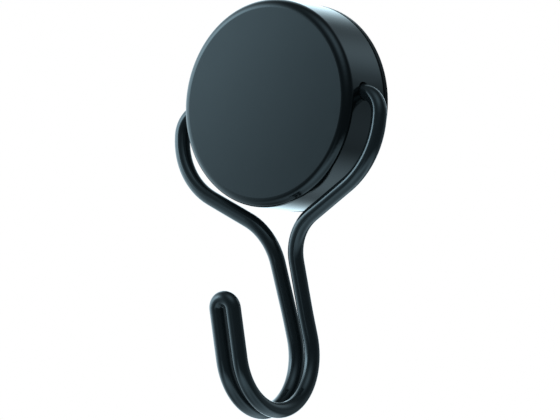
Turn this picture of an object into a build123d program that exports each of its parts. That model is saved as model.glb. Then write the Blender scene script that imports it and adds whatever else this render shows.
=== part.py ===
from build123d import *

import os
from math import cos, degrees, pi, radians, sin

# Magnetic swing hook: a round pot magnet under a drawn steel cap, with a bent wire hook that swings
# on two side pivots. Millimetres. The contact face of the magnet is the plane y = 0 and the wall is
# on its +Y side, so the cap's front faces -Y. +Z is up, and the cap's axis runs through the origin.

# --- Driving dimensions -------------------------------------------------------------------------

# cap
cap_radius = 20.0
overall_depth = 13.05
face_crown = 0.25
cap_wall = 0.8
cap_front_edge_radius = 1.75
cap_rear_edge_radius = 0.3

# pot of the magnet, whose rim carries the cap
rim_depth = 1.35
rim_edge_radius = 0.25
cup_wall = 1.2
cup_floor = 1.2
cup_depth = 5.3
cup_floor_edge_radius = 0.4
cup_mouth_radius = 0.3

# magnet stack inside the pot
magnet_outer_radius = 16.4
magnet_bore_radius = 5.4
magnet_edge_chamfer = 0.3
bond_thickness = 0.15
face_recess = 0.35
pole_radius = 4.2
pole_edge_chamfer = 0.25

# stem of the pole, and the push-on washer that holds the stack on it
stem_radius = 1.5
stem_end_chamfer = 0.3
stem_proud = 0.35
washer_radius = 3.6
washer_thickness = 0.4
washer_slot_length = 2.4
washer_slot_width = 0.5
washer_slots = 3
washer_pocket_radius = 4.0
washer_pocket_depth = 0.85

# moulded carrier between the pot and the cap
carrier_web = 1.0
carrier_rim_wall = 1.4
carrier_hub_radius = 5.2
carrier_rib_width = 1.1
carrier_rib_angles = (30, 60, 90, 120, 150)
socket_block_width = 6.4
socket_block_inner_x = 11.6

# pivots
pivot_setback = 7.65
pivot_height = 0.8
pivot_hole_radius = 1.8
bush_outer_radius = 2.0
bush_inner_x = 12.4
bush_outer_x = 18.6
bush_floor = 0.8

# wire hook: the legs close towards each other down the shank, then run parallel round the bend
wire_radius = 1.5
pin_inner_x = 14.0
pin_end_chamfer = 0.3
shoulder_x = 23.7
shoulder_bend_radius = 4.7
side_corner = (shoulder_x, -9.1, -12.6)
side_bend_radius = 14.5
neck_corner = (2.42, -8.2, -24.6)
neck_bend_radius = 10.4
shank_lean = 17.25
closing_length = 16.15
closing_radius = 100.0
leg_offset = 1.88
parallel_length = 4.4
hook_bend_radius = 11.35
hook_turn = 186.5
tip_length = 9.65

# fits
assembly_gap = 0.05
running_gap = 0.06
fuse_tolerance = 1e-5
cut_overrun = 1.0

# --- Derived places -----------------------------------------------------------------------------

front_y = face_crown - overall_depth
cap_inner_front_y = front_y + cap_wall
cap_inner_radius = cap_radius - cap_wall
cap_rear_y = -rim_depth
cup_radius = cap_inner_radius - assembly_gap
cup_inner_radius = cup_radius - cup_wall
cup_front_y = -cup_depth
cup_floor_y = cup_front_y + cup_floor
magnet_front_y = cup_floor_y + bond_thickness
carrier_front_y = cap_inner_front_y + assembly_gap
carrier_rear_y = cup_front_y - assembly_gap
carrier_radius = cap_inner_radius - assembly_gap
pivot_y = -pivot_setback
pocket_floor_y = carrier_front_y + washer_pocket_depth
stem_end_y = pocket_floor_y - washer_thickness - stem_proud


# --- Helpers ------------------------------------------------------------------------------------


def turned(outline, radii=None):
    """Solid of revolution about the Y axis from a closed outline of (radius, y) corners."""
    if radii is None:
        edge = Polyline(*outline, close=True)
    else:
        edge = FilletPolyline(*outline, radius=radii, close=True)
    return revolve(make_face(edge), Axis.Y)


def tube_x(radius, x_from, x_to):
    """Cylinder on the pivot axis between two X stations."""
    middle = ((x_from + x_to) / 2, pivot_y, pivot_height)
    return Pos(*middle) * Rot(0, 90, 0) * Cylinder(radius, abs(x_to - x_from))


def bar_y(radius, y_from, y_to):
    """Cylinder on the cap's axis between two Y stations."""
    return Pos(0, (y_from + y_to) / 2, 0) * Rot(90, 0, 0) * Cylinder(radius, abs(y_to - y_from))


def block(x_from, x_to, y_from, y_to, z_from, z_to):
    """Rectangular block between opposite corners."""
    middle = ((x_from + x_to) / 2, (y_from + y_to) / 2, (z_from + z_to) / 2)
    return Pos(*middle) * Box(abs(x_to - x_from), abs(y_to - y_from), abs(z_to - z_from))


def save(name, solid):
    """Writes one named piece."""
    solid.label = name
    export_step(solid, f"parts/{name}.step")


# --- Pot magnet ---------------------------------------------------------------------------------


def crowned_blank(radius, face_y, rear_y, front_edge_radius, rear_edge_radius):
    """Disc on the Y axis whose front face is a shallow dome, face_crown high at the axis."""
    dome_radius = (radius**2 + face_crown**2) / (2 * face_crown)
    apex_y = face_y - face_crown
    blank = bar_y(radius, apex_y - cut_overrun, rear_y) & Pos(0, apex_y + dome_radius, 0) * Sphere(dome_radius)
    blank = fillet(blank.edges().group_by(Axis.Y)[0], front_edge_radius)
    if rear_edge_radius:
        blank = fillet(blank.edges().group_by(Axis.Y)[-1], rear_edge_radius)
    return blank


def make_outer_cap():
    """Drawn cover: crowned front, rounded front edge, and one pivot hole in each side."""
    inner_edge_radius = cap_front_edge_radius - cap_wall
    outside = crowned_blank(cap_radius, front_y, cap_rear_y, cap_front_edge_radius, cap_rear_edge_radius)
    hollow_rear_y = cap_rear_y + cut_overrun
    inside = crowned_blank(cap_inner_radius, cap_inner_front_y, hollow_rear_y, inner_edge_radius, 0)
    holes = tube_x(pivot_hole_radius, -cap_radius - cut_overrun, cap_radius + cut_overrun)
    return outside - inside - holes


def make_magnet_cup():
    """Steel pot: floor towards the front, wall inside the cap, and a rim flush with the cap."""
    outline = [
        (stem_radius + assembly_gap, cup_front_y),
        (cup_radius, cup_front_y),
        (cup_radius, cap_rear_y + assembly_gap),
        (cap_radius, cap_rear_y + assembly_gap),
        (cap_radius, 0),
        (cup_inner_radius, 0),
        (cup_inner_radius, cup_floor_y),
        (stem_radius + assembly_gap, cup_floor_y),
    ]
    radii = [0, cup_floor_edge_radius, 0, rim_edge_radius, rim_edge_radius, cup_mouth_radius, 0, 0]
    return turned(outline, radii)


def make_magnet_bond():
    """Cured adhesive between the ferrite ring and the pot's floor."""
    outline = [
        (magnet_bore_radius, cup_floor_y),
        (magnet_outer_radius, cup_floor_y),
        (magnet_outer_radius, magnet_front_y),
        (magnet_bore_radius, magnet_front_y),
    ]
    return turned(outline)


def make_ring_magnet():
    """Ferrite ring, its rear face a little below the rim."""
    c = magnet_edge_chamfer
    outline = [
        (magnet_bore_radius, magnet_front_y),
        (magnet_outer_radius, magnet_front_y),
        (magnet_outer_radius, -face_recess - c),
        (magnet_outer_radius - c, -face_recess),
        (magnet_bore_radius + c, -face_recess),
        (magnet_bore_radius, -face_recess - c),
    ]
    return turned(outline)


def make_spacer_ring():
    """Plastic ring that centres the magnet and keeps the flux gap to the pot's wall."""
    inner = magnet_outer_radius + assembly_gap
    outer = cup_inner_radius - assembly_gap
    outline = [
        (inner, cup_floor_y + assembly_gap),
        (outer, cup_floor_y + assembly_gap),
        (outer, -face_recess),
        (inner, -face_recess),
    ]
    return turned(outline)


def make_centre_pole():
    """Turned steel pole in the magnet's bore, with a stem through the pot and the carrier."""
    c = pole_edge_chamfer
    outline = [
        (0, stem_end_y),
        (stem_radius - stem_end_chamfer, stem_end_y),
        (stem_radius, stem_end_y + stem_end_chamfer),
        (stem_radius, cup_floor_y),
        (pole_radius, cup_floor_y),
        (pole_radius, -c),
        (pole_radius - c, 0),
        (0, 0),
    ]
    return turned(outline)


def make_retaining_washer():
    """Push-on spring washer on the stem's front end, slotted so that its teeth grip."""
    washer_front_y = pocket_floor_y - washer_thickness
    middle_y = pocket_floor_y - washer_thickness / 2
    disc = bar_y(washer_radius, washer_front_y, pocket_floor_y)
    disc -= bar_y(stem_radius, washer_front_y - cut_overrun, pocket_floor_y + cut_overrun)
    cutter = Box(washer_slot_length, washer_thickness + 2 * cut_overrun, washer_slot_width)
    for index in range(washer_slots):
        disc -= Rot(0, index * 360 / washer_slots, 0) * Pos(washer_slot_length / 2, middle_y, 0) * cutter
    return disc


# --- Carrier and pivots -------------------------------------------------------------------------


def make_hook_carrier():
    """Moulded disc: front web, rim wall, hub, ribs, and two blocks that hold the bushes."""
    outline = [
        (0, carrier_front_y),
        (carrier_radius, carrier_front_y),
        (carrier_radius, carrier_rear_y),
        (0, carrier_rear_y),
    ]
    body = turned(outline, [0, cap_front_edge_radius - cap_wall, 0, 0])
    hollow_front_y = carrier_front_y + carrier_web
    hollow = bar_y(carrier_radius - carrier_rim_wall, hollow_front_y, carrier_rear_y + cut_overrun)
    hub = bar_y(carrier_hub_radius, carrier_front_y, carrier_rear_y)
    inside = bar_y(carrier_radius - carrier_rim_wall / 2, carrier_front_y, carrier_rear_y)
    half = socket_block_width / 2
    blocks = [
        block(side * socket_block_inner_x, side * cap_radius, carrier_front_y, carrier_rear_y,
              pivot_height - half, pivot_height + half)
        for side in (-1, 1)
    ]
    ribs = [
        Rot(0, angle, 0) * Box(2 * cap_radius, carrier_rear_y - carrier_front_y, carrier_rib_width)
        for angle in carrier_rib_angles
    ]
    rib_middle = Pos(0, (carrier_front_y + carrier_rear_y) / 2, 0)
    shape = body - hollow + hub
    for piece in blocks:
        shape += piece & inside
    for rib in ribs:
        shape += (rib_middle * rib) & inside
    front_cut_y = carrier_front_y - cut_overrun
    shape -= bar_y(stem_radius + assembly_gap, front_cut_y, carrier_rear_y + cut_overrun)
    shape -= bar_y(washer_pocket_radius, front_cut_y, pocket_floor_y)
    for side in (-1, 1):
        seat_inner_x = side * (bush_inner_x - assembly_gap)
        shape -= tube_x(bush_outer_radius + assembly_gap, seat_inner_x, side * (cap_radius + cut_overrun))
    return shape


def make_pivot_bush(side):
    """Closed-end bearing bush pressed into the carrier; the wire's end turns in it."""
    body = tube_x(bush_outer_radius, side * bush_inner_x, side * bush_outer_x)
    bore_inner_x = side * (bush_inner_x + bush_floor)
    bore = tube_x(wire_radius + running_gap, bore_inner_x, side * (bush_outer_x + cut_overrun))
    return body - bore


# --- Wire hook ----------------------------------------------------------------------------------


def hook_half():
    """Centreline of the right leg, from its pivot pin to the start of the hairpin.

    Returns the edges in order and the direction in which the last one runs.
    """
    lean, turn = radians(shank_lean), radians(hook_turn)
    down = Vector(0, sin(lean), -cos(lean))
    forward = Vector(0, -cos(lean), -sin(lean))
    neck = Vector(*neck_corner)
    closed = Vector(leg_offset, neck.Y, neck.Z) + down * closing_length
    shank_end = closed + down * parallel_length
    bend_centre = shank_end + forward * hook_bend_radius

    def on_bend(angle):
        return bend_centre + (down * sin(angle) - forward * cos(angle)) * hook_bend_radius

    leg = FilletPolyline(
        (pin_inner_x, pivot_y, pivot_height),
        (shoulder_x, pivot_y, pivot_height),
        side_corner,
        neck,
        closed,
        shank_end,
        radius=[shoulder_bend_radius, side_bend_radius, neck_bend_radius, closing_radius],
    )
    bend = ThreePointArc(shank_end, on_bend(turn / 2), on_bend(turn))
    tip_direction = down * cos(turn) + forward * sin(turn)
    arm = Line(on_bend(turn), on_bend(turn) + tip_direction * tip_length)
    return [*leg.edges(), bend.edge(), arm.edge()], tip_direction


def round_wire(edge):
    """Round wire along one straight run or one arc of the centreline."""
    start, tangent = edge @ 0, edge % 0
    section = Plane(origin=start, z_dir=tangent) * Circle(wire_radius)
    if edge.geom_type == GeomType.LINE:
        return extrude(section, amount=edge.length)
    spoke = start - edge.arc_center
    turn = degrees(edge.length / edge.radius)
    return revolve(section, Axis(edge.arc_center, spoke.cross(tangent)), turn)


def make_wire_hook():
    """One round wire bent double: two pivot pins, two legs, the hook and the hairpin tip."""
    edges, tip_direction = hook_half()
    tip = edges[-1] @ 1
    hairpin = TangentArc(tip, Vector(-tip.X, tip.Y, tip.Z), tangent=tip_direction).edge()
    right = [round_wire(edge) for edge in edges]
    pin_end = right[0].edges().filter_by(GeomType.CIRCLE).sort_by(Axis.X)[0]
    right[0] = chamfer(pin_end, pin_end_chamfer)
    left = [mirror(run, about=Plane.YZ) for run in right]
    wire = round_wire(hairpin).fuse(*right, *left, tol=fuse_tolerance)
    length = 2 * sum(edge.length for edge in edges) + hairpin.length
    expected = length * pi * wire_radius**2
    print(f"wire length {length:.2f}, volume {wire.volume:.2f}, before chamfers {expected:.2f}")
    return wire


# --- Build --------------------------------------------------------------------------------------

os.makedirs("parts", exist_ok=True)

save("outer_cap", make_outer_cap())
save("magnet_cup", make_magnet_cup())
save("magnet_bond", make_magnet_bond())
save("ring_magnet", make_ring_magnet())
save("spacer_ring", make_spacer_ring())
save("centre_pole", make_centre_pole())
save("retaining_washer", make_retaining_washer())
save("hook_carrier", make_hook_carrier())
save("pivot_bush_right", make_pivot_bush(1))
save("pivot_bush_left", make_pivot_bush(-1))
save("wire_hook", make_wire_hook())
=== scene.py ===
"""Looks of the magnetic swing hook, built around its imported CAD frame.

Lengths are metres in the frame's axes: the contact face is the plane y = 0, the cap's front faces
-Y and +Z is up.
"""

import math

import bmesh
import bpy
from mathutils import Matrix, Vector

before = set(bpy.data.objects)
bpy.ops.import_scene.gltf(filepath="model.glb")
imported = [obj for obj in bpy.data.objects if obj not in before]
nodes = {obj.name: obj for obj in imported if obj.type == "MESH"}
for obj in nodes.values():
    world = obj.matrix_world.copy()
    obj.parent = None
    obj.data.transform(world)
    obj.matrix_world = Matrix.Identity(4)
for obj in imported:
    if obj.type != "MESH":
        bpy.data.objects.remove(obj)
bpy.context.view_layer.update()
scene = bpy.context.scene

MM = 0.001

# --- Camera, floor and room settings ------------------------------------------------------------

VIEW_AZIMUTH = 37.45
VIEW_ELEVATION = -6.1
VIEW_ROLL = -0.98
VIEW_DISTANCE = 1.0
SENSOR_WIDTH = 36.0
CLIP_RANGE = (0.01, 20)
FRAME_WIDTH = 107.9 * MM
AIM_RIGHT = -4.79 * MM
AIM_UP = -19.56 * MM

FLOOR_DROP = 130 * MM
FLOOR_RADIUS = 2.5
FLOOR_SEGMENTS = 96
FLOOR_ROUGHNESS = 0.9
FLOOR_COLOUR = (0.80, 0.60, 0.54, 1)  # warm, so that it looks neutral in the cool room
FLOOR_GLOW = 0.35

# The room is an even dim light with soft lobes added: azimuth, elevation, spread in degrees, brightness.
AMBIENT = 0.07
LIGHT_LOBES = {
    "key_left": (-80, 6, 21, 2.0),
    "key_left_high": (-58, 23, 12, 2.8),
    "key_left_near": (-48, 18, 8, 2.3),
    "fill_left": (-108, 0, 28, 0.8),
    "front_top": (42, 52, 18, 1.0),
    "front_low": (0, -30, 8, 0.7),
    "back_right": (158, 31, 12, 0.68),
    "back_right_low": (148, -12, 17, 0.22),
    "back_left_top": (-130, 45, 12, 1.2),
    "back_left_high": (-148, 21, 12, 1.85),
    "back_left_low": (-142, -9, 9, 1.5),
}

# A bright table lies below, seen between these two values of a direction's downward part. Dark cards
# stand over it: azimuth, elevation, spread in degrees, share of the table's light taken away.
TABLE_GLOW = 2.0
TABLE_EDGE = (0.45, 0.80)
DARK_CARDS = {
    "left_card": (-85, -50, 32, 1.0),
    "right_card": (85, -63, 24, 0.7),
}
STUDIO_TINT = (0.76, 1.0, 1.12, 1)
WHITE = (1, 1, 1, 1)

# --- Material settings --------------------------------------------------------------------------

PAINT_TINT = (0.86, 1.0, 1.06, 1)

# Sprayed paint: colour, roughness, gloss (specular level), strength of the orange peel.
PAINTS = {
    "outer_cap": ("cap_paint", (0.0026, 0.0036, 0.0041), 0.12, 0.5, 0.03),
    "magnet_cup": ("rim_paint", (0.0030, 0.0036, 0.0039), 0.35, 0.10, 0.06),
    "wire_hook": ("wire_paint", (0.0150, 0.0190, 0.0210), 0.08, 0.5, 0.03),
}
# Moulded or cast: colour, roughness.
PLASTICS = {
    "magnet_bond": ("cured_adhesive", (0.30, 0.28, 0.22), 0.5),
    "spacer_ring": ("spacer_plastic", (0.016, 0.016, 0.017), 0.45),
    "hook_carrier": ("carrier_plastic", (0.020, 0.020, 0.021), 0.5),
    "pivot_bush_right": ("bush_plastic", (0.015, 0.015, 0.016), 0.4),
    "pivot_bush_left": ("bush_plastic_left", (0.015, 0.015, 0.016), 0.4),
}
# Turned metal: colour, roughness.
METALS = {
    "centre_pole": ("pole_plating", (0.60, 0.60, 0.58), 0.32),
    "retaining_washer": ("spring_steel", (0.32, 0.32, 0.34), 0.35),
}


# --- Camera -------------------------------------------------------------------------------------


def view_axes():
    """Right, up and backward directions of the camera."""
    az, el, roll = (math.radians(v) for v in (VIEW_AZIMUTH, VIEW_ELEVATION, VIEW_ROLL))
    right = Vector((math.cos(az), math.sin(az), 0))
    back = Vector((math.sin(az) * math.cos(el), -math.cos(az) * math.cos(el), math.sin(el)))
    up = back.cross(right)
    rolled_right = math.cos(roll) * right + math.sin(roll) * up
    rolled_up = -math.sin(roll) * right + math.cos(roll) * up
    return rolled_right, rolled_up, back


def make_camera():
    """Long-lens camera a little below the cap's axis, looking up at it from the right."""
    right, up, back = view_axes()
    data = bpy.data.cameras.new("camera")
    data.sensor_width = SENSOR_WIDTH
    data.lens = SENSOR_WIDTH * VIEW_DISTANCE / FRAME_WIDTH
    data.clip_start, data.clip_end = CLIP_RANGE
    camera = bpy.data.objects.new("camera", data)
    scene.collection.objects.link(camera)
    turn = Matrix((right, up, back)).transposed().to_4x4()
    camera.matrix_world = Matrix.Translation(back * VIEW_DISTANCE + right * AIM_RIGHT + up * AIM_UP) @ turn
    scene.camera = camera


# --- Node helpers -------------------------------------------------------------------------------


class Shader:
    """Short calls for building one node tree."""

    def __init__(self, tree):
        self.tree = tree
        self.tree.nodes.clear()

    def node(self, kind, values=None, **settings):
        made = self.tree.nodes.new(kind)
        for key, value in settings.items():
            setattr(made, key, value)
        for key, value in (values or {}).items():
            if isinstance(value, bpy.types.NodeSocket):
                self.tree.links.new(value, made.inputs[key])
            else:
                made.inputs[key].default_value = value
        return made

    def math(self, operation, a, b=0.0, clamp=False):
        return self.node("ShaderNodeMath", {0: a, 1: b}, operation=operation, use_clamp=clamp).outputs[0]

    def ramp(self, factor, stops):
        made = self.node("ShaderNodeValToRGB", {"Fac": factor})
        elements = made.color_ramp.elements
        while len(elements) > 1:
            elements.remove(elements[-1])
        elements[0].position, elements[0].color = stops[0][0], grey_or_colour(stops[0][1])
        for position, colour in stops[1:]:
            elements.new(position).color = grey_or_colour(colour)
        return made.outputs["Color"]

    def mapped(self, value, from_low, from_high, to_low, to_high, smooth=False):
        values = {
            "Value": value,
            "From Min": from_low,
            "From Max": from_high,
            "To Min": to_low,
            "To Max": to_high,
        }
        kind = "SMOOTHSTEP" if smooth else "LINEAR"
        return self.node("ShaderNodeMapRange", values, clamp=True, interpolation_type=kind).outputs["Result"]


def grey_or_colour(value):
    if isinstance(value, (int, float)):
        return (value, value, value, 1)
    return (*value, 1)


# --- World and floor ----------------------------------------------------------------------------


def heading(azimuth, elevation):
    """Unit direction; azimuth 0 is out of the cap's front and 90 is +X, elevation is above level."""
    az, el = math.radians(azimuth), math.radians(elevation)
    return Vector((math.sin(az) * math.cos(el), -math.cos(az) * math.cos(el), math.sin(el)))


def make_world():
    """Studio round the object as soft lobes of light over a bright table; white to the camera."""
    world = bpy.data.worlds.new("studio")
    scene.world = world
    world.use_nodes = True
    s = Shader(world.node_tree)
    direction = s.node("ShaderNodeTexCoord").outputs["Generated"]

    def along(axis):
        values = {0: direction, 1: tuple(axis)}
        return s.node("ShaderNodeVectorMath", values, operation="DOT_PRODUCT").outputs["Value"]

    def lobe(azimuth, elevation, spread):
        sharpness = 1 / math.radians(spread) ** 2
        nearness = s.math("SUBTRACT", along(heading(azimuth, elevation)), 1.0)
        return s.math("EXPONENT", s.math("MULTIPLY", nearness, sharpness))

    level = AMBIENT
    for azimuth, elevation, spread, brightness in LIGHT_LOBES.values():
        level = s.math("ADD", s.math("MULTIPLY", lobe(azimuth, elevation, spread), brightness), level)
    below = s.mapped(along((0, 0, -1)), *TABLE_EDGE, 0, 1, smooth=True)
    glow = s.math("MULTIPLY", below, TABLE_GLOW)
    for azimuth, elevation, spread, cover in DARK_CARDS.values():
        shade = s.math("MULTIPLY", lobe(azimuth, elevation, spread), cover)
        glow = s.math("MULTIPLY", glow, s.math("SUBTRACT", 1.0, shade, clamp=True))
    level = s.math("ADD", level, glow)
    studio = s.node("ShaderNodeBackground", {"Color": STUDIO_TINT, "Strength": level}).outputs[0]
    white = s.node("ShaderNodeBackground", {"Color": WHITE, "Strength": 1.0}).outputs[0]
    to_camera = s.node("ShaderNodeLightPath").outputs["Is Camera Ray"]
    mixed = s.node("ShaderNodeMixShader", {0: to_camera, 1: studio, 2: white}).outputs[0]
    s.node("ShaderNodeOutputWorld", {"Surface": mixed})


def make_floor():
    """Plain pale floor, well below the part, which hangs from its contact face."""
    mesh = bpy.data.meshes.new("floor")
    shape = bmesh.new()
    bmesh.ops.create_circle(shape, cap_ends=True, radius=FLOOR_RADIUS, segments=FLOOR_SEGMENTS)
    bmesh.ops.translate(shape, verts=shape.verts, vec=(0, 0, -FLOOR_DROP))
    shape.to_mesh(mesh)
    shape.free()
    floor = bpy.data.objects.new("floor", mesh)
    scene.collection.objects.link(floor)
    material = bpy.data.materials.new("floor_paper")
    material.use_nodes = True
    s = Shader(material.node_tree)
    values = {
        "Base Color": FLOOR_COLOUR,
        "Roughness": FLOOR_ROUGHNESS,
        "Emission Color": WHITE,
        "Emission Strength": FLOOR_GLOW,
    }
    paper = s.node("ShaderNodeBsdfPrincipled", values)
    s.node("ShaderNodeOutputMaterial", {"Surface": paper.outputs[0]})
    mesh.materials.append(material)
    floor.visible_glossy = False
    floor.visible_diffuse = False
    floor.visible_shadow = False


# --- Materials ----------------------------------------------------------------------------------


def new_material(name):
    material = bpy.data.materials.new(name)
    material.use_nodes = True
    return material, Shader(material.node_tree)


def noise(s, scale, detail=3.0, roughness=0.5, stretch=(1, 1, 1)):
    """Noise in the object's own coordinates; scale is in features per metre."""
    place = s.node("ShaderNodeTexCoord").outputs["Object"]
    sized = s.node("ShaderNodeMapping", {"Vector": place, "Scale": stretch}).outputs[0]
    values = {"Vector": sized, "Scale": scale, "Detail": detail, "Roughness": roughness}
    return s.node("ShaderNodeTexNoise", values).outputs["Fac"]


def drifting(s, colour, pattern, dark, light):
    """Colour that drifts between two brightnesses over a noise pattern."""
    return s.ramp(pattern, [(0.3, tuple(c * dark for c in colour)), (0.7, tuple(c * light for c in colour))])


def shaded(s, values):
    """Ends a material with one surface shader."""
    surface = s.node("ShaderNodeBsdfPrincipled", values)
    s.node("ShaderNodeOutputMaterial", {"Surface": surface.outputs[0]})


def paint_material(name, colour, roughness, gloss, peel):
    """Sprayed paint: slow colour drift, uneven gloss and a fine orange peel."""
    material, s = new_material(name)
    shade = drifting(s, colour, noise(s, 60, 2), 0.94, 1.06)
    rough = s.mapped(noise(s, 240, 3), 0.3, 0.7, roughness * 0.9, roughness * 1.1)
    bump = s.node("ShaderNodeBump", {"Strength": peel, "Distance": 0.02 * MM, "Height": noise(s, 1600, 2)})
    values = {
        "Base Color": shade,
        "Roughness": rough,
        "Normal": bump.outputs[0],
        "Specular IOR Level": gloss,
        "Specular Tint": PAINT_TINT,
    }
    shaded(s, values)
    return material


def plastic_material(name, colour, roughness):
    """Moulded plastic with a fine spark-eroded grain."""
    material, s = new_material(name)
    shade = drifting(s, colour, noise(s, 300, 3), 0.9, 1.1)
    grain = s.node("ShaderNodeBump", {"Strength": 0.35, "Distance": 0.02 * MM, "Height": noise(s, 5000, 2)})
    shaded(s, {"Base Color": shade, "Roughness": roughness, "Normal": grain.outputs[0]})
    return material


def ferrite_material():
    """Sintered ferrite, ground flat: dark grey, mottled, with straight grinding marks and a few pores, which
    are bumped in as pits and darkened in colour as painted shade.
    """
    material, s = new_material("ferrite")
    mottle = s.ramp(noise(s, 420, 5, 0.65), [(0.30, (0.030, 0.030, 0.032)), (0.70, (0.062, 0.061, 0.062))])
    marks = noise(s, 2600, 3, 0.6, stretch=(0.035, 1, 1))
    streaks = s.ramp(marks, [(0.35, 0.80), (0.65, 1.15)])
    place = s.node("ShaderNodeTexCoord").outputs["Object"]
    cells = s.node("ShaderNodeTexVoronoi", {"Vector": place, "Scale": 520.0}).outputs["Distance"]
    # Pores: pits in the bump, plus a darker base colour inside them that is painted shade.
    pore_depth_and_painted_shade = s.mapped(cells, 0.05, 0.11, 0.35, 1.0, smooth=True)
    ground = s.node("ShaderNodeVectorMath", {0: mottle, 1: streaks}, operation="MULTIPLY").outputs["Vector"]
    # Darkens the colour in the pores: painted shade in the pits.
    shade = s.node("ShaderNodeVectorMath", {0: ground, "Scale": pore_depth_and_painted_shade}, operation="SCALE").outputs["Vector"]
    depth = s.math("ADD", s.math("MULTIPLY", marks, 0.6), pore_depth_and_painted_shade)
    bump = s.node("ShaderNodeBump", {"Strength": 0.25, "Distance": 0.02 * MM, "Height": depth})
    values = {
        "Base Color": shade,
        "Roughness": s.mapped(marks, 0.3, 0.7, 0.38, 0.55),
        "Normal": bump.outputs[0],
    }
    shaded(s, values)
    return material


def turned_metal_material(name, colour, roughness):
    """Bare or plated steel with fine turning rings round the cap's axis."""
    material, s = new_material(name)
    place = s.node("ShaderNodeTexCoord").outputs["Object"]
    values = {"Vector": place, "Scale": 1500.0, "Distortion": 0.6, "Detail": 2.0}
    rings = s.node("ShaderNodeTexWave", values, wave_type="RINGS", rings_direction="Y").outputs["Fac"]
    shade = drifting(s, colour, noise(s, 900, 4, 0.6), 0.86, 1.0)
    bump = s.node("ShaderNodeBump", {"Strength": 0.25, "Distance": 0.006 * MM, "Height": rings})
    values = {
        "Base Color": shade,
        "Metallic": 1.0,
        "Roughness": s.mapped(rings, 0.0, 1.0, roughness * 0.85, roughness * 1.15),
        "Normal": bump.outputs[0],
    }
    shaded(s, values)
    return material


def dress(node, material):
    mesh = nodes[node].data
    mesh.materials.clear()
    mesh.materials.append(material)


# --- Build --------------------------------------------------------------------------------------

scene.view_settings.view_transform = "Standard"
make_camera()
make_world()
make_floor()

for make_material, table in (
    (paint_material, PAINTS),
    (plastic_material, PLASTICS),
    (turned_metal_material, METALS),
):
    for node, settings in table.items():
        dress(node, make_material(*settings))
dress("ring_magnet", ferrite_material())
